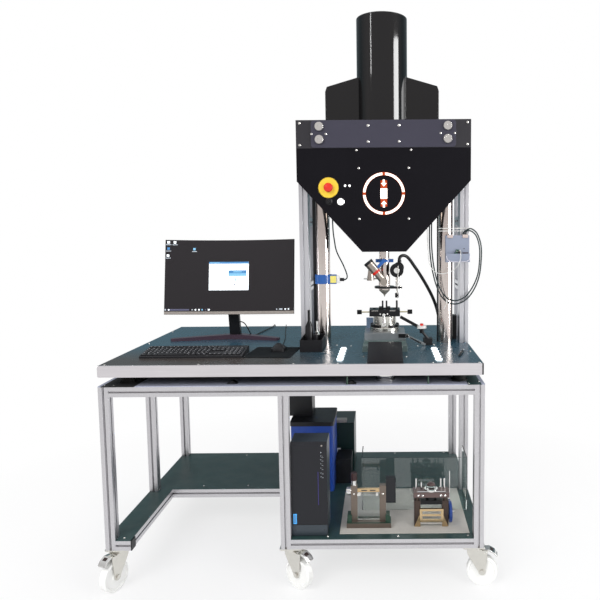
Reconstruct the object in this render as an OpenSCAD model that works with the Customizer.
// Uniaxial rock test bench: wheeled frame, isolated bench top, two-column load frame,
// compound test stage, workstation and the spare fixtures stored on the right shelf.
// Lengths are millimetres. X runs to the right, Y to the back and Z up.

/* [Wheeled frame] */
// Width of the frame over its posts
frame_w = 1516; // [1420:2:1640]
// Depth of the frame over its posts
frame_d = 971; // [900:1:1040]
// Height of the frame's top above the floor
frame_h = 840; // [780:5:900]
// Side of the square slotted profiles
profile = 40; // [38:1:44]
// Width of each profile's slot
slot_w = 8; // [6:1:10]
// Left face of the middle post, left of the bench centre
mid_post_x = 55; // [20:5:100]
// Width of the shelf beside the knee space
side_shelf_w = 101; // [95:1:160]
// Depth of the shelf behind the knee space
rear_shelf_d = 478; // [380:2:520]
// Thickness of the deck and shelf sheets
sheet_t = 3; // [2:0.5:4]

/* [Castors] */
// Wheel diameter
wheel_d = 125; // [100:5:130]
// Wheel tread width
wheel_w = 34; // [28:1:38]
// Distance of the axle behind the swivel axis
castor_trail = 38; // [30:1:42]
// Diameter of the axle
axle_d = 12; // [10:1:16]
// Side of the square top plate
castor_plate = 90; // [84:2:100]

/* [Bench top] */
// Width of the bench top
bench_w = 1500; // [1420:2:1600]
// Depth of the bench top
bench_d = 1000; // [960:2:1080]
// Thickness of the bench top
bench_t = 45; // [38:1:60]
// Height of the rubber isolators under it
isolator_h = 39; // [30:1:50]

/* [Load frame] */
// Load axis, right of the bench centre
load_x = 368; // [340:1:380]
// Load axis, behind the bench's front edge
load_y = 485; // [470:1:500]
// Inset of each column's axis from the crosshead's end
column_inset = 102; // [96:1:110]
// Column diameter
column_d = 65; // [50:1:70]
// Height of the crosshead's underside above the bench top
crosshead_z = 878; // [840:2:900]
// Height of the crosshead
crosshead_h = 122; // [100:2:140]
// Width of the crosshead's outer plate
crosshead_w = 768; // [760:2:790]
// Drop of the front cover's point below the crosshead
cover_drop = 455; // [430:1:460]
// Depth of the front cover
cover_d = 55; // [50:1:60]
// Radius of the tall round cover
tower_r = 116; // [104:1:120]
// Height of the tall cover above the crosshead
tower_h = 476; // [430:2:500]

/* [Spindle] */
// Spindle diameter
spindle_d = 47; // [40:1:50]
// Height of the cone's tip above the bench top at rest
tip_z = 213; // [213:0.5:214]
// Length of the cone
cone_h = 40; // [36:1:44]

/* [Test stage] */
// Width of the stage's base
stage_w = 194; // [180:2:200]
// Length of the stage's base
stage_l = 480; // [460:2:500]
// Diameter of the rotary table
rotary_d = 140; // [126:2:146]
// Diameter of the drum that carries the vice
drum_d = 107; // [96:1:110]
// Width of the vice body
vice_w = 140; // [136:2:150]
// Height of the vice body
vice_h = 31; // [28:1:36]
// Diameter of the two specimen pins
pin_d = 8; // [6:0.5:9]
// Diameter of the vice's two hand knobs
knob_d = 21; // [18:1:24]

/* [Workstation] */
// Width of the monitor
monitor_w = 606; // [560:2:620]
// Height of the monitor's panel
monitor_h = 352; // [330:2:360]
// Radius of the monitor's curve
monitor_r = 1800; // [1500:50:2400]
// Width of the keyboard
keyboard_w = 424; // [416:2:440]
// Depth of the keyboard
keyboard_d = 138; // [130:2:146]

/* [Hidden] */
$fn = 48;

// Running clearance of a pin in its bore, and the gap between parts that move past each other
fit = 0.05;
gap = 0.3;

// The part's own frame stands on the floor under the middle of the whole object
origin_x = 22;
origin_y = 481;
module placed() translate([-origin_x, -origin_y, 0]) children();

// Frame outline and levels
fx0 = -frame_w / 2;
fx1 = frame_w / 2;
fy0 = (bench_d - frame_d) / 2;
fy1 = fy0 + frame_d;
castor_h = wheel_d + 47;
deck_z = frame_h + sheet_t;
under_bench = deck_z + isolator_h;
bench_z = under_bench + bench_t;
shelf_z = castor_h + profile + sheet_t;
mid_x = -mid_post_x;
side_x = fx0 + side_shelf_w;
rear_y = fy1 - rear_shelf_d;
half_depth_y = fy0 + frame_d / 2 - profile / 2;

// Box between two opposite corners
module block(a, b) translate(a) cube(b - a);
// Cylinder along Y from its front end, and along X from its left end
module rod_y(x, y, z, d, len) translate([x, y, z]) rotate([-90, 0, 0]) cylinder(d = d, h = len);
module rod_x(x, y, z, d, len) translate([x, y, z]) rotate([0, 90, 0]) cylinder(d = d, h = len);
module rod_z(x, y, z, d, len) translate([x, y, z]) cylinder(d = d, h = len);
// Rectangle with rounded corners, centred
module round_rect(w, h, r) union() {
    square([w - 2 * r, h], center = true);
    square([w, h - 2 * r], center = true);
    for (sx = [-1, 1], sy = [-1, 1]) translate([sx * (w / 2 - r), sy * (h / 2 - r)]) circle(r = r);
}

// One slot of a profile, cut into the face at +Y of a square of side s
module slot_cut(s) {
    neck = s * 0.11;
    depth = s * 0.28;
    translate([-slot_w / 2, s / 2 - neck]) square([slot_w, neck + 1]);
    polygon([[-slot_w, s / 2 - neck], [slot_w, s / 2 - neck], [slot_w, s / 2 - neck - depth * 0.35],
        [slot_w / 2, s / 2 - depth], [-slot_w / 2, s / 2 - depth], [-slot_w, s / 2 - neck - depth * 0.35]]);
}
module section(s) difference() {
    square(s, center = true);
    for (a = [0:90:270]) rotate(a) slot_cut(s);
}
module double_section(s) difference() {
    square([s, 2 * s], center = true);
    for (a = [0, 180]) rotate(a) translate([0, s / 2]) slot_cut(s);
    for (a = [90, 270], dy = [-s / 2, s / 2]) translate([0, dy]) rotate(a) slot_cut(s);
}
// Bars end a seam short of the bar they are bolted to
seam = 0.05;
module bar(len) translate([0, 0, seam]) linear_extrude(len - 2 * seam) section(profile);
module bar_z(x, y, z, len) translate([x + profile / 2, y + profile / 2, z]) bar(len);
module bar_x(x, y, z, len) translate([x, y + profile / 2, z + profile / 2]) rotate([0, 90, 0]) bar(len);
module bar_y(x, y, z, len) translate([x + profile / 2, y, z + profile / 2]) rotate([-90, 0, 0]) bar(len);

// Wheeled frame of slotted profiles: posts, top rails and bottom rails
post_spots = [[fx0, fy0], [fx1 - profile, fy0], [fx0, fy1 - profile], [fx1 - profile, fy1 - profile]];
rail_top = frame_h - profile;
module wheeled_frame() placed() color("gainsboro") {
    for (p = post_spots) bar_z(p[0], p[1], castor_h, frame_h - castor_h);
    bar_z(mid_x, fy0, castor_h, rail_top - castor_h);
    for (x = [fx0, fx1 - profile])
        bar_z(x, half_depth_y, castor_h + profile, rail_top - castor_h - profile);
    for (y = [fy0, fy1 - profile]) bar_x(fx0 + profile, y, rail_top, frame_w - 2 * profile);
    for (x = [fx0, mid_x, fx1 - profile]) bar_y(x, fy0 + profile, rail_top, frame_d - 2 * profile);
    for (x = [fx0, mid_x, fx1 - profile]) bar_y(x, fy0 + profile, castor_h, frame_d - 2 * profile);
    bar_x(mid_x + profile, fy0, castor_h, fx1 - mid_x - 2 * profile);
    bar_x(fx0 + profile, fy1 - profile, castor_h, mid_x - fx0 - profile);
    bar_x(mid_x + profile, fy1 - profile, castor_h, fx1 - mid_x - 2 * profile);
    bar_x(fx0 + profile, fy0, castor_h, side_shelf_w - profile);
    bar_y(side_x - profile, fy0 + profile, castor_h, rear_y - fy0 - profile);
    bar_x(side_x - profile, rear_y, castor_h, mid_x - side_x + profile);
}

// Castors stand under the three front posts and the two rear corners
plate_inset = castor_plate / 2 - 7;
castor_spots = [[fx0 + plate_inset, fy0 + plate_inset + 7, -113], [mid_x + plate_inset, fy0 + plate_inset + 7, -35],
    [fx1 - plate_inset, fy0 + plate_inset + 7, -9], [fx0 + plate_inset, fy1 - plate_inset - 7, 10],
    [fx1 - plate_inset, fy1 - plate_inset - 7, 170]];
plate_t = 5;
race_h = 6;
king_d = 16;
crown_top = castor_h - plate_t - race_h - gap;
crown_t = 10;
leg_t = 3.5;
leg_gap = 1.5;
leg_in = wheel_w / 2 + leg_gap;
leg_out = leg_in + leg_t;
axle_z = wheel_d / 2;
pedal_pin_d = 6;
pedal_x = castor_trail + 14;
pedal_z = crown_top - 14;

module at_castor(i) translate([castor_spots[i][0], castor_spots[i][1], 0])
    rotate([0, 0, castor_spots[i][2]]) children();

// Castor plates, corner angles, end caps, isolators and the front jack: everything bolted to the frame
angle_s = 34;
angle_w = 28;
module corner_angle() rotate([90, 0, 0]) translate([0, 0, -angle_w / 2]) linear_extrude(angle_w) difference() {
    polygon([[0, 0], [angle_s, 0], [angle_s, 5], [5, angle_s], [0, angle_s]]);
    translate([angle_s * 0.56, angle_s * 0.56]) circle(d = angle_s * 0.5);
}
module isolator(x, y) {
    rod_z(x, y, deck_z, 66, 6);
    rod_z(x, y, deck_z + 6, 52, isolator_h - 12);
    rod_z(x, y, under_bench - 6, 66, 6);
}
isolator_inset = 85;
jack_y = 105;
module frame_fittings() placed() {
    color("silver") for (i = [0:4]) at_castor(i) {
        translate([0, 0, castor_h - plate_t]) linear_extrude(plate_t)
            rotate(-castor_spots[i][2]) round_rect(castor_plate, castor_plate, 8);
        rod_z(0, 0, castor_h - plate_t - race_h, 62, race_h);
        rod_z(0, 0, crown_top - crown_t - 8, king_d, crown_t + 8 + gap);
        rod_z(0, 0, crown_top - crown_t - 8, 26, 8 - gap);
    }
    color("lightgray") {
        for (x = [fx0 + profile, fx1 - profile], s = [0, 1]) translate([x, fy1 - profile / 2, rail_top])
            mirror([x > 0 ? 1 : 0, 0, 0]) mirror([0, 0, 1]) corner_angle();
    }
    color("black") {
        block([side_x, fy0, castor_h], [side_x + 4, fy0 + profile, castor_h + profile]);
        for (sx = [-1, 1], y = [isolator_inset, bench_d - isolator_inset])
            isolator(sx * (bench_w / 2 - isolator_inset), y);
    }
    color("silver") {
        rod_z(load_x, jack_y, deck_z, 78, 8);
        translate([load_x, jack_y, deck_z + 8]) cylinder(d1 = 78, d2 = 46, h = isolator_h - 20);
        rod_z(load_x, jack_y, under_bench - 12, 46, 12);
    }
}

// Deck sheet, the two shelf sheets and the pale mat on the right shelf
mat_t = 3;
mat_x0 = 178;
mat_x1 = 706;
mat_y0 = 54;
mat_y1 = 490;
module post_notch(x, y) block([x - 1, y - 1, 0], [x + profile + 1, y + profile + 1, frame_h]);
module deck_sheets() placed() {
    color("darkslategray") {
        block([fx0, fy0, frame_h], [fx1, fy1, deck_z]);
        difference() {
            translate([0, 0, shelf_z - sheet_t]) linear_extrude(sheet_t) polygon([[fx0, fy0], [side_x, fy0],
                [side_x, rear_y], [mid_x + profile / 2 - 0.5, rear_y], [mid_x + profile / 2 - 0.5, fy1], [fx0, fy1]]);
            for (p = [post_spots[0], post_spots[2], [fx0, half_depth_y]]) post_notch(p[0], p[1]);
        }
        difference() {
            block([mid_x + profile / 2 + 0.5, fy0, shelf_z - sheet_t], [fx1, fy1, shelf_z]);
            for (p = [post_spots[1], post_spots[3], [fx1 - profile, half_depth_y], [mid_x, fy0]])
                post_notch(p[0], p[1]);
        }
    }
    color("lightgray") block([mat_x0, mat_y0, shelf_z], [mat_x1, mat_y1, shelf_z + mat_t]);
}

// Castor fork in its own frame: swivel axis at the origin, trail along +X
module fork(i) placed() at_castor(i) color("lightgray") {
    difference() {
        union() {
            rod_z(0, 0, crown_top - crown_t, 64, crown_t);
            block([0, -leg_out, crown_top - crown_t], [pedal_x - 16, leg_out, crown_top - crown_t + 4]);
        }
        rod_z(0, 0, crown_top - crown_t - 1, king_d + 2 * fit, crown_t + 2);
    }
    for (s = [0, 1]) mirror([0, s, 0]) translate([0, leg_out, 0]) rotate([90, 0, 0]) linear_extrude(leg_t)
        difference() {
            union() {
                polygon([[-24, crown_top - crown_t + 1], [-20, crown_top - 30], [castor_trail - 15, axle_z],
                    [castor_trail + 15, axle_z], [pedal_x + 8, pedal_z - 6], [pedal_x + 8, pedal_z + 7],
                    [pedal_x - 12, crown_top - crown_t + 1]]);
                translate([castor_trail, axle_z]) circle(d = 30);
            }
            translate([pedal_x, pedal_z]) circle(d = pedal_pin_d + 2 * fit);
            translate([castor_trail, axle_z]) circle(d = axle_d);
        }
    color("silver") {
        translate([castor_trail, -leg_out, axle_z]) rotate([-90, 0, 0]) cylinder(d = axle_d, h = 2 * leg_out);
        for (s = [0, 1]) mirror([0, s, 0]) translate([castor_trail, leg_out, axle_z]) rotate([-90, 0, 0])
            cylinder(d = axle_d * 1.6, h = 5, $fn = 6);
    }
}

// Wheel with a stepped disc face, a hub and a rounded tread
module wheel(i) placed() at_castor(i) color("whitesmoke") translate([castor_trail, 0, axle_z])
    rotate([90, 0, 0]) rotate_extrude($fn = 96) {
        bore = axle_d / 2 + fit;
        rim = wheel_d / 2;
        half = wheel_w / 2;
        polygon([[bore, -half], [bore + 11, -half], [bore + 13, -half + 5], [rim - 13, -half + 5], [rim - 10, -half],
            [rim - 3, -half], [rim, -half + 4], [rim, half - 4], [rim - 3, half], [rim - 10, half],
            [rim - 13, half - 5], [bore + 13, half - 5], [bore + 11, half], [bore, half]]);
    }

// Brake pedal: a bent tread plate on a cross pin between the fork's legs
module pedal(i) placed() at_castor(i) color("silver") {
    w = 2 * (leg_in - gap);
    translate([pedal_x, -leg_out, pedal_z]) rotate([-90, 0, 0]) cylinder(d = pedal_pin_d, h = 2 * leg_out);
    translate([0, w / 2, 0]) rotate([90, 0, 0]) linear_extrude(w)
        translate([pedal_x, pedal_z]) polygon([[-9, -2], [-9, 6], [14, 10], [36, -2], [46, -16], [43, -18],
            [32, -7], [12, 1], [0, -5]]);
}

// Bench top: slab, skin, front edge strip with its lip, and end caps
skin_t = 3;
edge_t = 3;
lip_w = 9;
lip_t = 1.2;
cap_t = 6;
module bench_top() placed() {
    x0 = -bench_w / 2;
    x1 = bench_w / 2;
    color("dimgray") block([x0 + cap_t, edge_t, under_bench], [x1 - cap_t, bench_d, bench_z - skin_t]);
    color("darkslategray") block([x0 + cap_t, lip_w, bench_z - skin_t], [x1 - cap_t, bench_d, bench_z]);
    color("gainsboro") difference() {
        block([x0 + cap_t, 0, under_bench], [x1 - cap_t, lip_w, bench_z + lip_t]);
        block([x0, edge_t, under_bench - 1], [x1, lip_w + 1, bench_z - skin_t]);
    }
    color("black") for (x = [x0, x1 - cap_t])
        translate([x, 0, 0]) rotate([90, 0, 90]) linear_extrude(cap_t) polygon([[4, under_bench],
            [bench_d, under_bench], [bench_d, bench_z], [lip_w, bench_z], [lip_w, bench_z + lip_t],
            [4, bench_z + lip_t], [0, bench_z - 4], [0, under_bench + 4]]);
}

// Columns, slotted uprights and their ties
column_gap = crosshead_w - 2 * column_inset;
column_xs = [load_x - column_gap / 2, load_x + column_gap / 2];
beam_z = bench_z + crosshead_z;
head_top = beam_z + crosshead_h;
head_x0 = load_x - crosshead_w / 2;
head_x1 = load_x + crosshead_w / 2;
plate_y = load_y - column_d / 2 - cover_d - 2.5;
upright_y = plate_y + cover_d;
rear_upright_y = upright_y + 4.75 * profile;
module columns() placed() color("silver") for (x = column_xs) rod_z(x, load_y, bench_z, column_d, head_top - bench_z);

module column_profiles() placed() color("lightgray") for (x = [head_x0, head_x1 - profile]) {
    translate([x + profile / 2, upright_y + profile, bench_z])
        linear_extrude(head_top - bench_z) double_section(profile);
    bar_z(x, rear_upright_y, bench_z, head_top - bench_z);
    for (z = [bench_z + 240, bench_z + 540, head_top - profile])
        bar_y(x, upright_y + 2 * profile, z, rear_upright_y - upright_y - 2 * profile);
}

// Crosshead: outer channel plate in front, clamp beam round the columns and a rear tie
beam_x0 = head_x0 + profile + 1;
beam_x1 = head_x1 - profile - 1;
beam_y1 = load_y + column_d + 10;
spindle_bore = spindle_d + 2 * fit;
actuator_d = 112;
module crosshead() placed() {
    color("#333338") difference() {
        block([head_x0, plate_y, beam_z], [head_x1, upright_y, head_top]);
        block([head_x0 + 3, plate_y + 4, beam_z + 3], [head_x1 - 3, upright_y + 1, head_top - 3]);
        rod_z(load_x, load_y, beam_z - 1, actuator_d + 2 * fit, crosshead_h + 2);
    }
    color("#404046") difference() {
        union() {
            block([beam_x0, plate_y + 4 + gap, beam_z + 4], [beam_x1, upright_y + 1, head_top - 4]);
            block([beam_x0, upright_y + gap, beam_z + 4], [beam_x1, beam_y1, head_top - gap]);
        }
        for (x = column_xs) {
            rod_z(x, load_y, beam_z, column_d + 2 * fit, crosshead_h + 1);
            block([x - 1.5, load_y, beam_z], [x + 1.5, beam_y1 + 1, head_top + 1]);
        }
        rod_z(load_x, load_y, beam_z, actuator_d + 2 * fit, crosshead_h + 1);
    }
    color("lightgray") bar_x(head_x0 + profile, rear_upright_y, head_top - profile, crosshead_w - 2 * profile);
}

// Face plate with its four large knurled screws
face_w = 635;
face_t = 5;
knurl_d = 36;
knurl_zs = [beam_z + 37, beam_z + 93];
knurl_dx = column_gap / 2 - 1;
module face_plate() placed() {
    color("#454550") translate([load_x, plate_y, (beam_z + head_top) / 2]) rotate([90, 0, 0])
        linear_extrude(face_t) round_rect(face_w, crosshead_h - 4, 14);
    color("silver") for (s = [-1, 1], z = knurl_zs)
        translate([load_x + s * knurl_dx, plate_y - face_t, z]) rotate([90, 0, 0]) difference() {
            union() {
                cylinder(d = knurl_d, h = 12);
                for (a = [0:20:340]) rotate(a) translate([knurl_d / 2, 0, 0]) cylinder(d = 3, h = 10, $fn = 24);
            }
            translate([0, 0, 5]) cylinder(d = 16, h = 8, $fn = 6);
        }
}

// Front cover: a folded shell with a pointed lower edge, cut-outs for light and the button holes
cover_t = 3;
point_w = 196;
shoulder = 143;
point_z = beam_z - cover_drop;
estop_at = [load_x - 244, beam_z - 171];
selector_at = [load_x - 242, beam_z - 231];
lamp_at = [load_x - 191, beam_z - 233];
emblem_z = beam_z - 198;
emblem_d = 184;
emblem_line = 11;
button_bore = 22;
module cover_outline(inset) {
    run = (crosshead_w - point_w) / 2;
    drop = cover_drop - shoulder;
    edge = sqrt(run * run + drop * drop);
    side = crosshead_w / 2 - inset;
    corner = -shoulder + inset * (edge - drop) / run;
    foot = point_w / 2 - inset * (edge - run) / drop;
    polygon([[-side, 0], [-side, corner], [-foot, inset - cover_drop], [foot, inset - cover_drop],
        [side, corner], [side, 0]]);
}
module broken_ring(r_out, line) difference() {
    circle(r = r_out);
    circle(r = r_out - line);
    for (a = [0:90:270]) rotate(a) translate([0, -6]) square([r_out + 5, 12]);
}
// Light cut-outs: a broken ring round a core sample between two pressing arrows
module emblem() {
    broken_ring(emblem_d / 2, emblem_line);
    square([30, 46], center = true);
    for (s = [0, 1]) mirror([0, s]) translate([0, 31]) {
        polygon([[0, 0], [13, 15], [-13, 15]]);
        translate([-4.5, 15]) square([9, 15]);
    }
}
module front_cover() placed() {
    color("#17161a") translate([load_x, plate_y + cover_d, beam_z]) rotate([90, 0, 0]) difference() {
        linear_extrude(cover_d) cover_outline(0);
        translate([0, 0, -cover_t]) linear_extrude(cover_d) translate([0, 1]) cover_outline(cover_t);
        translate([0, 0, cover_d - cover_t - 1]) linear_extrude(cover_t + 2) {
            translate([0, emblem_z - beam_z]) emblem();
            for (b = [estop_at, selector_at, lamp_at]) translate([b[0] - load_x, b[1] - beam_z])
                circle(d = button_bore);
        }
    }
    color("gold") translate([estop_at[0], plate_y, estop_at[1]]) rotate([90, 0, 0]) difference() {
        cylinder(d = 90, h = 2.5);
        translate([0, 0, -1]) cylinder(d = button_bore, h = 5);
    }
}

// Light panel that shows through the front cover's cut-outs
window_s = 236;
module window_panel() placed() color("ivory")
    block([load_x - window_s / 2, plate_y + cover_t + 0.2, emblem_z - window_s / 2],
        [load_x + window_s / 2, plate_y + cover_t + 8.2, emblem_z + window_s / 2]);

// Push buttons and the selector on the front cover
module estop_button() placed() translate([estop_at[0], plate_y, estop_at[1]]) rotate([90, 0, 0])
    color("red") rotate_extrude() polygon([[0, -20], [button_bore / 2 - 0.1, -20], [button_bore / 2 - 0.1, 8.5],
        [14, 10], [20, 14], [20, 20], [17, 24], [9, 26.5], [0, 27]]);
module lamp_button() placed() translate([lamp_at[0], plate_y, lamp_at[1]]) rotate([90, 0, 0])
    color("white") rotate_extrude() polygon([[0, -14], [button_bore / 2 - 0.1, -14], [button_bore / 2 - 0.1, 4],
        [14, 4.5], [14, 7], [11.5, 9], [0, 9.5]]);
module selector_knob() placed() translate([selector_at[0], plate_y, selector_at[1]]) rotate([90, 0, 0]) {
    color("#202024") rotate_extrude() polygon([[0, -14], [button_bore / 2 - 0.1, -14],
        [button_bore / 2 - 0.1, gap], [13, gap], [13, 5], [11, 7], [0, 7]]);
    color("#202024") rotate([0, 0, -45]) translate([-3.2, -11, 6]) cube([6.4, 22, 10]);
}

// Tall cover: a half-round tower between two sloping wings, open below
wing_w = 518;
wing_h_in = 212;
wing_h_out = 170;
tower_x = load_x - 5;
tower_y = upright_y + tower_r;
wing_y0 = upright_y + 70;
back_y = tower_y + 40;
tower_t = 3;
module tower_solid(t) {
    translate([tower_x, tower_y, head_top]) linear_extrude(tower_h - t) union() {
        circle(r = tower_r - t, $fn = 128);
        translate([-tower_r + t, 0]) square([2 * tower_r - 2 * t, back_y - tower_y - t]);
    }
    translate([tower_x, back_y - t, head_top]) rotate([90, 0, 0]) linear_extrude(back_y - wing_y0 - 2 * t)
        polygon([[-wing_w / 2 + t, 0], [-wing_w / 2 + t, wing_h_out - 22 - t], [-wing_w / 2 + 8 + t, wing_h_out - t],
            [-tower_r + 10, wing_h_in - t], [tower_r - 10, wing_h_in - t], [wing_w / 2 - 8 - t, wing_h_out - t],
            [wing_w / 2 - t, wing_h_out - 22 - t], [wing_w / 2 - t, 0]]);
}
module tower_cover() placed() color("#0b0b0d") difference() {
    tower_solid(0);
    translate([0, 0, -1]) tower_solid(tower_t);
}

// Actuator: motor, gearbox and screw housing that the spindle slides in
housing_bottom = point_z + 18;
module actuator() placed() {
    color("#3a3d42") difference() {
        union() {
            rod_z(load_x, load_y, housing_bottom + 30, 92, beam_z - housing_bottom - 30);
            rod_z(load_x, load_y, beam_z - 16, 136, 16 - gap);
            rod_z(load_x, load_y, housing_bottom, 74, 30);
            rod_z(load_x, load_y, beam_z - gap, actuator_d, crosshead_h + gap);
            rod_z(load_x, load_y + 40, head_top, 120, 60 + gap);
        }
        rod_z(load_x, load_y, housing_bottom - 1, spindle_bore, 400);
    }
    color("#26282c") translate([load_x, tower_y, head_top + 60 + gap]) {
        translate([0, 0, 35]) cube([130, 130, 70], center = true);
        rod_z(0, 0, 70, 116, 250);
        rod_z(0, 0, 320, 90, 50);
    }
}

// Spindle with its tool holder, a neck for the collar plate and the cone
tip = bench_z + tip_z;
collar_t = 9;
neck_d = 40;
holder_d = 54;
holder_h = 58;
collar_z = tip + cone_h;
holder_z = collar_z + collar_t;
spindle_top = point_z + 250;
module spindle() placed() color("silver") {
    rod_z(load_x, load_y, holder_z + holder_h, spindle_d, spindle_top - holder_z - holder_h);
    rod_z(load_x, load_y, holder_z, holder_d, holder_h);
    rod_z(load_x, load_y, collar_z, neck_d, collar_t);
    translate([load_x, load_y, tip]) rotate_extrude() polygon([[0, 0], [1.6, 0.6], [5, 10], [24, cone_h - 12],
        [26, cone_h - 6], [26, cone_h], [0, cone_h]]);
}

// Camera on its blue clamp bracket, with the hanging clamp screw and its tommy bar
camera_y = load_y - 46;
camera_a = 39;
camera_foot = [load_x - 2, camera_y, holder_z + 24];
clamp_z = bench_z + 372;
clamp_h = 15;
drop_x = load_x - 63;
module camera() placed() {
    color("steelblue") {
        difference() {
            union() {
                rod_z(load_x, load_y, clamp_z, spindle_d + 14, clamp_h);
                block([load_x - 40, load_y - 9, clamp_z], [load_x + 42, load_y + 9, clamp_z + clamp_h]);
                block([load_x - 8, camera_y - 5, clamp_z + 2], [load_x + 12, load_y, clamp_z + clamp_h]);
            }
            rod_z(load_x, load_y, clamp_z - 1, spindle_d, clamp_h + 2);
        }
        translate([load_x + 2, camera_y - 5, clamp_z + clamp_h]) rotate([0, 220, 0])
            translate([-8, 0, 0]) cube([16, 10, 62]);
    }
    translate(camera_foot) rotate([0, -camera_a, 0]) {
        color("gray") rod_z(0, 0, 0, 34, 50);
        color("red") rod_z(0, 0, 50, 38, 12);
        color("gray") rod_z(0, 0, 62, 42, 43);
        color("black") rod_z(0, 0, 105, 44, 12);
    }
    color("gray") {
        difference() {
            rod_y(camera_foot[0], camera_y - 18, camera_foot[2], 34, load_y - camera_y);
            rod_z(load_x, load_y, holder_z - 1, holder_d, holder_h + 2);
        }
        translate([drop_x, camera_y, clamp_z - 80]) cylinder(d1 = 34, d2 = 20, h = 48);
        rod_z(drop_x, camera_y, clamp_z - 38, 12, 14);
    }
    color("silver") rod_x(drop_x - 31, camera_y, clamp_z - 72, 6, 62);
}

// Displacement gauge held by the collar plate's arm, and its plunger that stands on the vice's post
gauge_x = load_x + 56;
gauge_y = load_y - 30;
gauge_z = bench_z + 336;
gauge_d = 62;
plunger_d = 5;
post_top = bench_z + 198;
module gauge() placed() {
    color("#1a1b1e") {
        difference() {
            union() {
                rod_z(load_x, load_y, collar_z, 92, collar_t);
                block([load_x, gauge_y - 10, collar_z], [gauge_x + 24, gauge_y + 12, holder_z]);
            }
            rod_z(load_x, load_y, collar_z - 1, neck_d, collar_t + 2);
            rod_z(gauge_x, gauge_y, collar_z - 1, 12, collar_t + 2);
        }
        difference() {
            rod_y(gauge_x, gauge_y - 9, gauge_z, gauge_d, 26);
            rod_z(gauge_x, gauge_y, gauge_z - 40, plunger_d, 80);
        }
        rod_y(gauge_x + 10, gauge_y + 16, gauge_z + 12, 48, 34);
        rod_z(gauge_x + 14, gauge_y + 38, gauge_z + 12, 18, 33);
    }
    color("silver") {
        rod_y(gauge_x, gauge_y - 15, gauge_z, 26, 7);
        rod_z(gauge_x + 17, gauge_y, collar_z - 4, 6, gauge_z - collar_z - 20);
        difference() {
            rod_z(gauge_x, gauge_y, collar_z - 4, 10, gauge_z - collar_z - 25);
            rod_z(gauge_x, gauge_y, collar_z - 5, plunger_d, 90);
        }
    }
}
module gauge_plunger() placed() {
    color("silver") rod_z(gauge_x, gauge_y, post_top + 33, plunger_d - 2 * fit, gauge_z - post_top - 28);
    color("#1a1b1e") block([gauge_x - 8, gauge_y - 7, post_top + 14], [gauge_x + 8, gauge_y + 7, post_top + 34]);
    color("silver") rod_z(gauge_x, gauge_y, post_top + gap, 4, 14);
}

// Compound stage: base with dovetail, Y slide, X slide, rotary table, drum and vice
base_h = 20;
y_slide_h = 12;
x_slide_h = 24;
slide_gap = 0.1;
way_w = 60;
way_h = 6;
x_slide_l = 180;
y_slide_l = 240;
z_base = bench_z + base_h;
z_y = z_base + y_slide_h;
z_x = z_y + x_slide_h;
guard_w = 140;
guard_y0 = 8;
guard_y1 = 200;
module way(len, w, h) rotate([90, 0, 0]) translate([0, 0, -len / 2]) linear_extrude(len)
    polygon([[-w / 2, 0], [w / 2, 0], [w / 2 + h * 0.6, h], [-w / 2 - h * 0.6, h]]);
module stage_base() placed() {
    color("#6d7a76") translate([load_x, load_y, 0]) {
        difference() {
            block([-stage_w / 2, -stage_l / 2, bench_z], [stage_w / 2, stage_l / 2, z_base - way_h]);
            for (s = [-1, 1]) block([s * stage_w / 2 - 8, -stage_l / 2 + 30, bench_z + 8],
                [s * stage_w / 2 + 8, stage_l / 2 - 30, bench_z + base_h - way_h - 3]);
        }
        translate([0, 0, z_base - way_h]) way(stage_l, way_w, way_h);
        for (s = [-1, 1]) block([s * (stage_w / 2 - 12) - 10, -stage_l / 2, z_base - way_h],
            [s * (stage_w / 2 - 12) + 10, -stage_l / 2 + 40, z_base + 6]);
    }
    color("silver") rod_y(load_x, load_y - stage_l / 2 - 12, bench_z + 12, 14, 12);
    color("#121214") {
        translate([load_x - guard_w / 2, 0, bench_z]) rotate([90, 0, 90]) linear_extrude(guard_w)
            polygon([[guard_y0, lip_t], [guard_y0, 9], [guard_y1, 50], [guard_y1 + 14, 50], [guard_y1 + 14, 0],
                [lip_w + 3, 0], [lip_w + 3, lip_t]]);
    }
}
// Dovetail socket cut along Y or, turned, along X
module way_socket(len) rotate([90, 0, 0]) translate([0, 0, -len / 2 - 1]) linear_extrude(len + 2) polygon([
    [-way_w / 2 - slide_gap, -1], [way_w / 2 + slide_gap, -1], [way_w / 2 + slide_gap, 0],
    [way_w / 2 + way_h * 0.6 + 2 * slide_gap, way_h + slide_gap],
    [-way_w / 2 - way_h * 0.6 - 2 * slide_gap, way_h + slide_gap], [-way_w / 2 - slide_gap, 0]]);
module y_slide() placed() color("#59645f") translate([load_x, load_y, 0]) {
    difference() {
        block([4 - stage_w / 2, -y_slide_l / 2, z_base - way_h + gap], [stage_w / 2 - 4, y_slide_l / 2, z_y - way_h]);
        translate([0, 0, z_base - way_h]) way_socket(y_slide_l);
    }
    translate([0, 0, z_y - way_h]) rotate([0, 0, 90]) way(stage_w - 8, way_w, way_h);
}

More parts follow.
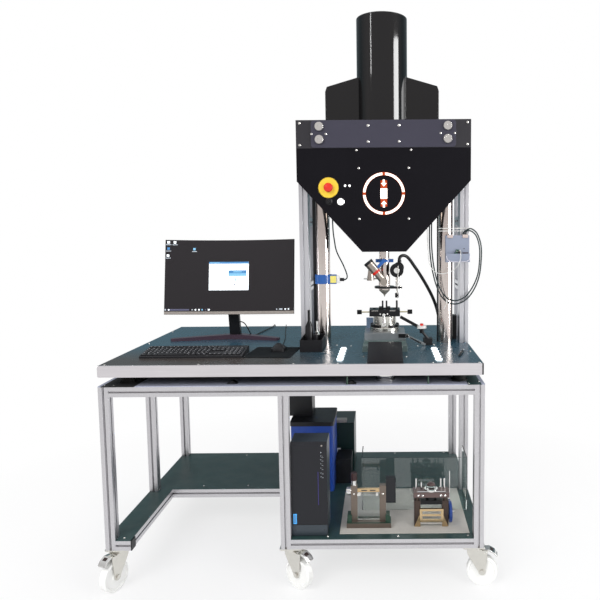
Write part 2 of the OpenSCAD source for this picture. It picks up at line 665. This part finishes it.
// X slide with the lock bracket at its front and the drive block behind
bracket_x = load_x + 61;
pivot_x = load_x + 100;
pivot_z = bench_z + 45;
bracket_t = 8;
module x_slide() placed() {
    color("#9aa09c") translate([load_x, load_y, 0]) difference() {
        block([5 - stage_w / 2, -x_slide_l / 2, z_y - way_h + gap], [stage_w / 2 - 5, x_slide_l / 2, z_x]);
        translate([0, 0, z_y - way_h]) rotate([0, 0, 90]) way_socket(stage_w + 6);
        for (s = [-1, 1]) block([2 - stage_w / 2, s * 64 - 4, z_x - 5],
            [stage_w / 2 - 2, s * 64 + 4, z_x + 1]);
    }
    color("#121214") {
        block([bracket_x, load_y - x_slide_l / 2 - bracket_t, z_x - 20],
            [pivot_x + 5, load_y - x_slide_l / 2, z_x - 2]);
        rod_y(pivot_x, load_y - x_slide_l / 2 - bracket_t - 12, pivot_z, 6, 13);
        rod_y(pivot_x, load_y - x_slide_l / 2 - bracket_t - 12, pivot_z, 12, 4);
    }
    color("#5a6a84") block([load_x - 87, load_y + 70, z_x], [load_x - 24, load_y + 88, z_x + 48]);
}

// Lock lever: a slotted arm on the bracket's pivot that rests just above the bench
lever_run = 78;
lever_y = load_y - x_slide_l / 2 - bracket_t - gap;
module lock_lever() placed() color("silver") translate([0, lever_y, 0]) rotate([90, 0, 0])
    linear_extrude(7) difference() {
        drop = pivot_z - bench_z - 7;
        a = atan2(drop, lever_run);
        union() {
            translate([pivot_x, pivot_z]) circle(d = 15);
            translate([pivot_x + lever_run, pivot_z - drop]) circle(d = 11);
            translate([pivot_x, pivot_z]) rotate(-a) translate([0, -5.5]) square([norm([drop, lever_run]), 11]);
        }
        translate([pivot_x, pivot_z]) circle(d = 6 + 2 * fit);
        translate([pivot_x, pivot_z]) rotate(-a) translate([16, -2]) square([50, 4]);
    }

// Rotary table, its edge clamps and the drum under the vice
disc_h = 19;
clamp_ring_h = 12;
vice_z = z_x + 70;
module wedge_2d(a0, a1, r) polygon([[0, 0], [r * cos(a0), r * sin(a0)],
    [r * 1.2 * cos((a0 + a1) / 2), r * 1.2 * sin((a0 + a1) / 2)], [r * cos(a1), r * sin(a1)]]);
lever_x = load_x - 4;
ball_pivot_z = z_x + 37;
module rotary_table() placed() {
    color("silver") translate([load_x, load_y, z_x + gap]) rotate_extrude($fn = 96) polygon([[0, 0],
        [rotary_d / 2 - 3, 0], [rotary_d / 2 - 3, 5], [rotary_d / 2, 6], [rotary_d / 2, disc_h - 3],
        [rotary_d / 2 - 2, disc_h - gap], [drum_d / 2, disc_h - gap], [drum_d / 2, vice_z - z_x - gap],
        [0, vice_z - z_x - gap]]);
    color("#121214") translate([load_x, load_y, z_x + disc_h]) linear_extrude(clamp_ring_h) for (m = [0, 1])
        mirror([m, 0]) intersection() {
            difference() {
                circle(d = rotary_d - 3);
                circle(d = drum_d + 2);
            }
            union() {
                wedge_2d(-68, -12, rotary_d);
                wedge_2d(15, 60, rotary_d);
            }
        }
    color("silver") rod_y(lever_x, load_y - drum_d / 2 - 20, ball_pivot_z, 8, 22);
}

// Tapered lever with a ball end that locks the drum
module ball_lever() placed() translate([lever_x, load_y - drum_d / 2 - 12, ball_pivot_z]) {
    color("silver") difference() {
        union() {
            rod_y(0, -8, 0, 18, 16);
            translate([0, 0, 6]) cylinder(d1 = 17, d2 = 7, h = 34);
            translate([0, 0, 42]) sphere(d = 15);
        }
        rod_y(0, -9, 0, 8 + 2 * fit, 18);
    }
}

// Self-centring vice: body, two-handed screw with a knob at each end, and two jaws with pins
vice_d = 90;
channel_w = 30;
channel_l = 110;
screw_d = 6;
screw_z = vice_z + vice_h / 2;
post_d = 9;
module vice_body() placed() color("#141417") {
    difference() {
        block([load_x - vice_w / 2, load_y - vice_d / 2, vice_z],
            [load_x + vice_w / 2, load_y + vice_d / 2, vice_z + vice_h]);
        block([load_x - channel_l / 2, load_y - channel_w / 2, vice_z + 8],
            [load_x + channel_l / 2, load_y + channel_w / 2, vice_z + vice_h + 1]);
        rod_x(load_x - vice_w / 2 - 1, load_y, screw_z, screw_d + 2 * fit, vice_w + 2);
    }
    rod_z(gauge_x, gauge_y, vice_z + vice_h, post_d, post_top - vice_z - vice_h);
}
knob_w = 22;
knob_in = vice_w / 2 + 36;
module vice_screw() placed() {
    color("goldenrod") rod_x(load_x - knob_in, load_y, screw_z, screw_d, 2 * knob_in);
    color("#202024") for (m = [0, 1]) translate([load_x, load_y, screw_z]) mirror([m, 0, 0])
        rotate([0, 90, 0]) translate([0, 0, knob_in]) {
            cylinder(d = knob_d - 2, h = knob_w);
            for (a = [0:30:330]) rotate(a) translate([knob_d / 2 - 1.6, 0, 1]) cylinder(d = 3.2, h = knob_w - 2, $fn = 24);
        }
}
pin_off = 9;
module jaw() color("#141417") difference() {
    union() {
        block([4.5, -channel_w / 2 + gap, vice_z + 8 + gap], [40, channel_w / 2 - gap, vice_z + vice_h]);
        block([4.5, -20, vice_z + vice_h + gap], [26, 20, vice_z + vice_h + 9]);
        block([4.5, -channel_w / 2 + 1, vice_z + vice_h - 1], [26, channel_w / 2 - 1, vice_z + vice_h + 2]);
        rod_z(pin_off, 0, vice_z + vice_h + 8, pin_d, 29);
    }
    rod_x(0, 0, screw_z, screw_d + 2 * fit, 50);
}
module jaw_right() placed() translate([load_x, load_y, 0]) jaw();
module jaw_left() placed() translate([load_x, load_y, 0]) mirror([1, 0, 0]) jaw();

// Small magnetic stand with a swinging arm clamped by a white hand knob
stand_x = load_x + 195;
stand_y = load_y - 65;
head_x = stand_x - 27;
head_z = bench_z + 66;
stud_d = 8;
module stand_base() placed() {
    color("#1c1f1e") {
        block([stand_x - 20, stand_y - 25, bench_z], [stand_x + 20, stand_y + 25, bench_z + 30]);
        rod_z(head_x, stand_y, head_z - 14, 20, 14);
    }
    color("#2c3a34") translate([stand_x, stand_y, bench_z + 28])
        rotate([0, -atan2(stand_x - head_x, head_z - bench_z - 34), 0])
        cylinder(d = 12, h = norm([stand_x - head_x, head_z - bench_z - 34]));
    color("silver") rod_z(head_x, stand_y, head_z, stud_d, 16);
}
arm_run = 100;
arm_rise = 56;
module stand_arm() placed() translate([head_x, stand_y, head_z + gap]) {
    difference() {
        union() {
            color("#141416") rod_z(0, 0, 0, 22, 8);
            color("#141416") rotate([0, atan2(arm_rise, arm_run), 0])
                translate([-norm([arm_run, arm_rise]), -5, -1]) cube([norm([arm_run, arm_rise]) - 9, 10, 13]);
            color("whitesmoke") rod_z(0, 0, 8, 44, 13);
            color("red") rod_z(0, 0, 21, 15, 8);
        }
        rod_z(0, 0, -1, stud_d + 2 * fit, 18);
    }
}

// Sensor clamped to the left column: blue clamp ring, sensor head and its round connector
sensor_z = bench_z + 276;
sensor_h = 42;
sensor_x = column_xs[0] + column_d / 2 + 2;
module column_sensor() placed() {
    color("steelblue") difference() {
        union() {
            rod_z(column_xs[0], load_y, sensor_z, column_d + 12, sensor_h);
            block([column_xs[0], load_y - 30, sensor_z], [sensor_x + 28, load_y - 6, sensor_z + sensor_h]);
        }
        rod_z(column_xs[0], load_y, sensor_z - 1, column_d, sensor_h + 2);
    }
    color("gold") block([sensor_x, load_y - 33, sensor_z + 5], [sensor_x + 27, load_y - 30, sensor_z + sensor_h - 5]);
    color("whitesmoke") block([sensor_x + 28, load_y - 28, sensor_z + 3], [sensor_x + 43, load_y - 8, sensor_z + 37]);
    color("#141416") rod_x(sensor_x + 43, load_y - 18, sensor_z + 19, 15, 20);
}

// Junction box on the right uprights with its open tray, and the small box behind the column
box_x = [head_x1 - 108, head_x1 - 2];
box_z = bench_z + 374;
box_h = 119;
tray_h = 38;
wall = 2;
module junction_box() placed() {
    color("thistle") {
        block([box_x[0], upright_y - 34, box_z + tray_h], [box_x[1], upright_y, box_z + box_h]);
        difference() {
            block([box_x[0], upright_y - 52, box_z], [box_x[1], upright_y, box_z + tray_h]);
            block([box_x[0] + wall, upright_y - 52 + wall, box_z + wall],
                [box_x[1] - wall, upright_y - 36, box_z + tray_h + 1]);
        }
    }
    color("seagreen") block([box_x[0] + 38, upright_y - 46, box_z + wall], [box_x[0] + 62, upright_y - 37, box_z + 30]);
    color("#141416") block([head_x1 - profile - 34, upright_y + 110, bench_z],
        [head_x1 - profile, upright_y + 160, bench_z + 112]);
}

// Two scalloped light strips on the bench
strip_l = 275;
strip_w = 20;
strip_spots = [[load_x - 182, 67], [load_x + 215, 53]];
module led_strips() placed() color("white") for (p = strip_spots) translate([p[0], p[1], bench_z]) {
    block([-strip_w / 2, 0, 0], [strip_w / 2, strip_l, 4]);
    for (k = [0:4]) translate([0, strip_l * (k + 0.5) / 5, 0]) cylinder(d = strip_w + 9, h = 4);
}

// Open tray with a few hand tools standing in it
tray_at = [51, 340];
tray_size = [96, 178, 52];
module tool_tray() placed() translate([tray_at[0], tray_at[1], bench_z]) {
    color("#101012") difference() {
        block([-tray_size[0] / 2, -tray_size[1] / 2, 0], [tray_size[0] / 2, tray_size[1] / 2, tray_size[2]]);
        block([wall - tray_size[0] / 2, wall - tray_size[1] / 2, wall],
            [tray_size[0] / 2 - wall, tray_size[1] / 2 - wall, tray_size[2] + 1]);
    }
    color("#26282c") translate([-22, 40, wall]) {
        cylinder(d = 34, h = 90);
        translate([0, 0, 90]) cylinder(d1 = 34, d2 = 14, h = 24);
        translate([0, 0, 114]) cylinder(d = 12, h = 50);
    }
    color("silver") translate([14, 34, wall]) {
        cylinder(d = 24, h = 70);
        translate([0, 0, 70]) cylinder(d = 9, h = 45);
    }
    color("#26282c") translate([12, -12, wall]) cylinder(d = 22, h = 62);
}

// Monitor: curved panel on a tilt pin, with a neck and an arched foot
monitor_x = head_x0 - 342;
rest_tilt = 10;
tilt_y = 574;
tilt_z = bench_z + 214.5;
panel_y = tilt_y - 64;
monitor_z = tilt_z - 92;
panel_t = 11;
tilt_pin_d = 10;
module curved_slab(w, h, t) intersection() {
    difference() {
        translate([0, panel_sag - monitor_r, 0]) cylinder(r = monitor_r + t, h = h, $fn = 720);
        translate([0, panel_sag - monitor_r, -1]) cylinder(r = monitor_r, h = h + 2, $fn = 720);
    }
    block([-w / 2, -10, -1], [w / 2, panel_sag + t + 10, h + 1]);
}
panel_sag = monitor_r - sqrt(monitor_r * monitor_r - monitor_w * monitor_w / 4);
module monitor() placed() translate([monitor_x, tilt_y, tilt_z]) rotate([-rest_tilt, 0, 0])
    translate([0, -tilt_y, -tilt_z]) {
    color("#17181c") translate([0, panel_y, monitor_z]) curved_slab(monitor_w, monitor_h, panel_t);
    color("#202126") {
        difference() {
            block([-120, panel_y + 10, monitor_z + 40], [120, tilt_y - 16, monitor_z + 210]);
            translate([0, panel_y + panel_sag - monitor_r, monitor_z]) cylinder(r = monitor_r + 1, h = monitor_h, $fn = 720);
        }
        for (m = [0, 1]) mirror([m, 0, 0]) difference() {
            block([20 + gap, tilt_y - 17, tilt_z - 14], [28, tilt_y + 14, tilt_z + 14]);
            rod_x(0, tilt_y, tilt_z, tilt_pin_d, 40);
        }
    }
    color("silver") rod_x(-28, tilt_y, tilt_z, tilt_pin_d, 56);
}
// The neck slants back from the pin to the foot, whose two arms reach out and forward
neck_y = 612;
foot_h = 22;
foot_tip_h = 12;
arm_r = 17;
arm_ends = [[-279, 553], [207, 557]];
foot_outline = concat([[26, neck_y + 24], [-26, neck_y + 24]],
    [for (a = [102:18:282]) arm_ends[0] + arm_r * [cos(a), sin(a)]],
    [[-26, neck_y - 22], [26, neck_y - 22]],
    [for (a = [-105:18:75]) arm_ends[1] + arm_r * [cos(a), sin(a)]]);
foot_x0 = arm_ends[0][0] - 2 * arm_r;
foot_x1 = arm_ends[1][0] + 2 * arm_r;
neck_z0 = bench_z + foot_h - 1;
neck_z1 = tilt_z - 6;
neck_w = 50;
neck_top_w = 40;
module neck() intersection() {
    translate([-neck_w / 2, 0, 0]) rotate([90, 0, 90]) linear_extrude(neck_w) polygon([
        [tilt_y - 8, neck_z1], [neck_y - 12, neck_z0], [neck_y + 20, neck_z0], [tilt_y + 12, neck_z1]]);
    translate([0, neck_y + 40, 0]) rotate([90, 0, 0]) linear_extrude(140) polygon([
        [-neck_w, neck_z0 - 1], [neck_w, neck_z0 - 1], [neck_w, tilt_z - 40], [neck_top_w / 2, tilt_z - 40],
        [neck_top_w / 2, neck_z1 + 1], [-neck_top_w / 2, neck_z1 + 1], [-neck_top_w / 2, tilt_z - 40],
        [-neck_w, tilt_z - 40]]);
}
module monitor_stand() placed() translate([monitor_x, 0, 0]) {
    color("#6b5a68") translate([0, 0, bench_z]) intersection() {
        linear_extrude(foot_h + 1) polygon(foot_outline);
        translate([0, neck_y + 40, 0]) rotate([90, 0, 0]) linear_extrude(140) polygon([[foot_x0, -1],
            [foot_x0, foot_tip_h], [-26, foot_h], [26, foot_h], [foot_x1, foot_tip_h], [foot_x1, -1]]);
    }
    color("#141416") difference() {
        union() {
            neck();
            rod_x(-neck_top_w / 2, tilt_y, tilt_z, 28, neck_top_w);
        }
        rod_x(-neck_top_w / 2 - 1, tilt_y, tilt_z, tilt_pin_d + 2 * fit, neck_top_w + 2);
    }
}

// Keyboard: wedge body and its key caps in rows
keyboard_x = -432;
keyboard_y = 145;
key_pitch = 18.4;
key_s = 15.8;
key_slope = 7.5;
nav_x = keyboard_w - 12 - 7.3 * key_pitch;
pad_x = keyboard_w - 12 - 4 * key_pitch;
module key_row(x, y, count, w) for (k = [0:count - 1]) translate([x + k * (w + key_pitch - key_s), y, 0])
    cube([w, key_s, 5.5]);
module keyboard() placed() translate([keyboard_x - keyboard_w / 2, keyboard_y, bench_z]) color("#1a1a1d") {
    rotate([90, 0, 90]) linear_extrude(keyboard_w) polygon([[0, 0], [keyboard_d, 0], [keyboard_d, 25],
        [keyboard_d - 6, 27], [4, 10], [0, 7]]);
    translate([5, 6, 9]) rotate([key_slope, 0, 0]) {
        for (r = [1:4]) key_row(0, r * key_pitch, 15, key_s);
        key_row(0, 0, 3, key_s + 5);
        translate([3 * (key_pitch + 5), 0, 0]) cube([6 * key_pitch, key_s, 5.5]);
        key_row(9 * key_pitch + 18, 0, 4, key_s + 3);
        for (r = [0:4]) key_row(pad_x, r * key_pitch, 4, key_s);
        for (r = [0, 3, 4]) key_row(nav_x, r * key_pitch, 3, key_s);
        for (g = [0:3]) key_row(g * 79, 5 * key_pitch + 5, 4, key_s - 2);
    }
}

// Mouse on its pad
pad_at = [-112, 252];
pad_size = [196, 230];
mouse_at = [-93, 292];
module mouse() placed() {
    color("#3c4448") translate([pad_at[0], pad_at[1], bench_z]) rotate(-4) linear_extrude(2)
        round_rect(pad_size[0], pad_size[1], 10);
    color("#28292d") translate([mouse_at[0], mouse_at[1], bench_z + 2]) intersection() {
        hull() {
            for (sx = [-1, 1]) translate([sx * 14, -30, 0]) cylinder(d = 30, h = 12, $fn = 32);
            for (sx = [-1, 1]) translate([sx * 14, 30, 0]) cylinder(d = 28, h = 10, $fn = 32);
            translate([0, -12, 4]) resize([50, 70, 60]) sphere(d = 50, $fn = 32);
        }
        translate([-40, -60, 0]) cube([80, 120, 60]);
    }
}

// Computer tower with a bevelled front
pc_at = [-14, 40];
pc_size = [146, 120, 388];
module pc_case() placed() translate([pc_at[0], pc_at[1], shelf_z]) {
    color("#33363d") block([0, 12, 10], [pc_size[0], pc_size[1], pc_size[2]]);
    color("#1d1f24") rotate([90, 0, 90]) linear_extrude(pc_size[0]) polygon([[0, 6], [0, pc_size[2] - 14],
        [12, pc_size[2]], [12, 0], [4, 0]]);
    for (x = [20, pc_size[0] - 20], y = [30, pc_size[1] - 30]) rod_z(x, y, 0, 22, 10);
}

// Stored cases: blue case with its lid, tall box on it, dark cabinet and a small black unit
blue_at = [-78, 466];
blue_size = [200, 236, 318];
lid_h = 20;
module storage_cases() placed() {
    color("royalblue") translate([blue_at[0], blue_at[1], shelf_z]) linear_extrude(blue_size[2])
        translate([blue_size[0] / 2, blue_size[1] / 2]) round_rect(blue_size[0], blue_size[1], 12);
    color("#1a1b1e") {
        translate([blue_at[0], blue_at[1], shelf_z + blue_size[2]]) linear_extrude(lid_h)
            translate([blue_size[0] / 2, blue_size[1] / 2]) round_rect(blue_size[0] + 6, blue_size[1] + 6, 14);
        block([blue_at[0] - 18, blue_at[1] + 100, shelf_z + blue_size[2] + lid_h],
            [blue_at[0] + 92, blue_at[1] + 220, rail_top - 12]);
        block([126, 560, shelf_z], [200, 700, shelf_z + 120]);
    }
    color("#16302f") block([30, 722, shelf_z], [208, 930, shelf_z + 252]);
    color("lightgray") block([112, 724, shelf_z + 252], [170, 764, shelf_z + 266]);
}

// Spare fixture one: two uprights on a base, a brass bar, a clear sheet, pads, a knob and a black side box
jig_z = shelf_z + mat_t;
jig_y = 128;
module jig_one() placed() translate([296, jig_y, jig_z]) {
    color("#6e6259") {
        block([-92, -32, 0], [92, 32, 20]);
        for (x = [-61, 58]) block([x - 13.5, -12, 20], [x + 13.5, 12, 173]);
    }
    color("darkseagreen") for (x = [-80, 78]) block([x - 9, -22, 20], [x + 9, 22, 50]);
    color("goldenrod") block([-47.5, -5, 143], [44.5, 5, 158]);
    color("silver") for (x = [-38, 34]) block([x - 5, -8, 128], [x + 5, 8, 143]);
    color("lightcyan") block([-47.5, -2, 24], [44.5, 2, 128]);
    color("silver") {
        rod_x(-92, 0, 146, 34, 17.5);
        rod_z(-61, 0, 173, 22, 20);
    }
    color("#5a1c1c") rod_z(-61, 0, 193, 26, 32);
    color("#141416") block([71.5, -10, 98], [112, 16, 204]);
}

// Spare fixture two: a table on two legs with pins, a clamp dish, a brass frame and a blue handwheel
wheel_x = 80;
wheel_z = 55;
module jig_two() placed() translate([555, jig_y, jig_z]) {
    color("#4a403a") for (x = [-58, 58]) {
        block([x - 13, -22, 0], [x + 13, 22, 110]);
        rod_z(x, -10, 110, 18, 18);
    }
    color("#5d4740") block([-74, -30, 128], [74, 30, 148]);
    color("#1c1f22") {
        block([-45, -24, 96], [45, 24, 112]);
        rod_z(0, 0, 112, 46, 16);
    }
    color("goldenrod") {
        difference() {
            block([-49, -36, 26], [49, -26, 82]);
            block([-38, -37, 36], [38, -25, 72]);
        }
        block([-38, -34, 50], [38, -28, 58]);
        for (x = [-43, 43]) block([x - 4, -26, 56], [x + 4, -20, 68]);
    }
    color("whitesmoke") rod_x(-45, -14, 12, 9, 90);
    color("silver") {
        for (p = [[-62, 50], [-40, 34], [40, 50], [55, 50]]) rod_z(p[0], 0, 148, 8, p[1]);
        rod_z(0, 0, 148, 56, 8);
        rod_x(71, 0, wheel_z, 10, 26);
    }
    color("lightcyan") rod_z(0, 0, 156, 40, 14);
    color("silver") translate([78, 12, 100]) rod_z(0, 0, 0, 5, 124);
    color("silver") block([70, 9, 100], [81, 15, 106]);
}
module handwheel() placed() translate([555 + wheel_x, jig_y, jig_z + wheel_z]) color("royalblue") {
    rotate([0, 90, 0]) rotate_extrude() polygon([[5 + fit, -6], [14, -6], [14, -2], [32, -2], [34, -6], [41, -6],
        [44, -3], [44, 3], [41, 6], [34, 6], [32, 2], [14, 2], [14, 7], [5 + fit, 7]]);
}

// Clear guard stored behind the fixtures: a sheet bent to a U
guard_at = [262, 262];
guard_size = [462, 150, 236];
guard_t = 4;
module clear_guard() placed() translate([guard_at[0], guard_at[1], jig_z]) color("lightcyan", 0.4) {
    block([0, 0, 0], [guard_size[0], guard_t, guard_size[2]]);
    for (x = [0, guard_size[0] - guard_t]) block([x, 0, 0], [x + guard_t, guard_size[1], guard_size[2]]);
}

// Swept tubes for the cords: rings of points normal to the route, joined into one polyhedron
function unit(v) = v / norm(v);
function along(pts, i) = unit(pts[min(i + 1, len(pts) - 1)] - pts[max(i - 1, 0)]);
function side_of(t) = abs(t[2]) > 0.9 ? unit(cross(t, [1, 0, 0])) : unit(cross(t, [0, 0, 1]));
function carried(t, u) = unit(u - (u * t) * t);
function frames(pts, i = 0, u = [0, 0, 0]) = i == len(pts) ? [] :
    let (t = along(pts, i), s = i == 0 ? side_of(t) : carried(t, u)) concat([[s, cross(t, s)]], frames(pts, i + 1, s));
module cord(pts, d, sides = 8) {
    fr = frames(pts);
    n = len(pts);
    ring_points = [for (i = [0:n - 1], k = [0:sides - 1]) pts[i] + d / 2 *
        (cos(360 * k / sides) * fr[i][0] + sin(360 * k / sides) * fr[i][1])];
    walls = [for (i = [0:n - 2], k = [0:sides - 1]) let (a = i * sides + k, b = i * sides + (k + 1) % sides)
        [a, b, b + sides, a + sides]];
    ends = [[for (k = [0:sides - 1]) sides - 1 - k], [for (k = [0:sides - 1]) (n - 1) * sides + k]];
    polyhedron(points = ring_points, faces = concat([for (w = walls) [w[3], w[2], w[1], w[0]]],
        [for (e = ends) [for (k = [0:sides - 1]) e[sides - 1 - k]]]));
}

// Routes in the bench's frame
gauge_route = [[438, 493, 1308.3], [438, 493, 1316], [444, 495, 1325], [455, 499, 1329], [470, 505, 1325],
    [486, 512, 1310], [504, 520, 1284], [526, 528, 1252], [550, 537, 1214], [574, 546, 1172], [598, 555, 1124],
    [616, 566, 1076], [628, 578, 1026], [637, 587, 982], [647, 595, 950], [662, 598, 936], [677.7, 598, 935]];
loop_route = [[736, 433, 1420.3], [737, 433, 1434], [746, 432, 1447], [764, 430, 1448], [788, 425, 1424],
    [804, 422, 1370], [804, 422, 1300], [796, 424, 1236], [776, 428, 1180], [744, 432, 1134], [704, 434, 1111],
    [664, 438, 1113], [632, 444, 1138], [606, 456, 1190], [588, 480, 1266], [580, 500, 1340], [578, 512, 1410],
    [580, 520, 1500], [584, 526, 1650], [586, 528, 1808.7]];
loop_two_route = [[724, 430, 1420.3], [725, 430, 1432], [736, 423, 1441], [760, 419, 1438], [782, 414, 1414],
    [795, 412, 1364], [795, 412, 1300], [788, 414, 1244], [768, 418, 1192], [738, 422, 1148], [700, 424, 1127],
    [664, 428, 1130], [636, 434, 1154], [612, 446, 1202], [596, 470, 1272], [589, 492, 1342], [587, 506, 1412],
    [589, 514, 1500], [593, 520, 1650], [595, 522, 1808.7]];
white_route = [[702, 408, 1331.3], [702, 408, 1340], [704, 402, 1352], [706, 393, 1354], [708, 388, 1340],
    [706, 386, 1312], [690, 388, 1280], [658, 396, 1256], [615, 410, 1250], [586, 428, 1266], [572, 448, 1300],
    [568, 468, 1360], [566, 490, 1440], [566, 505, 1560], [566, 515, 1700], [566, 520, 1808.7]];
sensor_route = [[183.8, 467, 1222], [190, 467, 1223], [197, 467, 1232], [194, 468, 1252], [178, 470, 1292],
    [150, 474, 1350], [140, 478, 1400], [134, 482, 1450], [132, 486, 1520], [132, 490, 1660], [132, 490, 1808.7]];
mouse_route = [[-93, 338, 933], [-93, 362, 931], [-96, 410, 930], [-102, 480, 930], [-114, 590, 930],
    [-130, 700, 930], [-148, 820, 930], [-162, 920, 930], [-170, 978, 931], [-173, 998, 934], [-175, 1009, 925],
    [-176, 1013, 900], [-176, 1012, 840], [-172, 1006, 740], [-160, 960, 640], [-145, 870, 560], [-130, 740, 500],
    [-118, 600, 450], [-108, 500, 420], [-84, 452, 405], [-58, 410, 388], [-24, 340, 366], [4, 260, 360],
    [20, 204, 376], [25, 176, 394], [26, 166, 400], [26, 160.3, 400]];
monitor_route = [[-332.7, 603, 1010], [-325, 603, 1010], [-312, 606, 1002], [-300, 614, 980], [-292, 628, 955],
    [-286, 650, 937], [-278, 690, 931], [-264, 780, 931], [-246, 900, 931], [-238, 978, 932],
    [-236, 998, 935], [-235, 1010, 925], [-234, 1014, 890], [-230, 1012, 820], [-214, 1000, 700],
    [-190, 950, 600], [-160, 850, 520], [-134, 720, 450], [-118, 600, 390], [-108, 500, 350], [-84, 454, 330],
    [-58, 412, 312], [-20, 340, 292], [12, 262, 288], [34, 206, 300], [44, 178, 315], [46, 166, 320],
    [46, 160.3, 320]];
module fixed_cables() placed() {
    color("#10282a") cord(loop_route, 6);
    color("#10282a") cord(loop_two_route, 6);
    color("white") cord(white_route, 3);
    color("#10282a") cord(sensor_route, 6);
    color("#101012") cord(mouse_route, 4);
    color("#101012") cord(monitor_route, 5);
}
module gauge_cable() placed() color("#0e1416") cord(gauge_route, 15);

wheeled_frame();
frame_fittings();
deck_sheets();
bench_top();
columns();
column_profiles();
crosshead();
face_plate();
front_cover();
window_panel();
tower_cover();
actuator();
stage_base();
tool_tray();
stand_base();
column_sensor();
junction_box();
led_strips();
monitor_stand();
keyboard();
mouse();
pc_case();
storage_cases();
jig_one();
jig_two();
clear_guard();
fixed_cables();
gauge_cable();
fork(0);  // fork_left
fork(1);  // fork_middle
fork(2);  // fork_right
fork(3);  // fork_rear_left
fork(4);  // fork_rear_right
wheel(0);  // wheel_left
wheel(1);  // wheel_middle
wheel(2);  // wheel_right
wheel(3);  // wheel_rear_left
wheel(4);  // wheel_rear_right
pedal(0);  // pedal_left
pedal(1);  // pedal_middle
pedal(2);  // pedal_right
estop_button();
selector_knob();
lamp_button();
spindle();
camera();
gauge();
gauge_plunger();
y_slide();
x_slide();
rotary_table();
vice_body();
vice_screw();
jaw_left();
jaw_right();
ball_lever();
lock_lever();
stand_arm();
monitor();
handwheel();
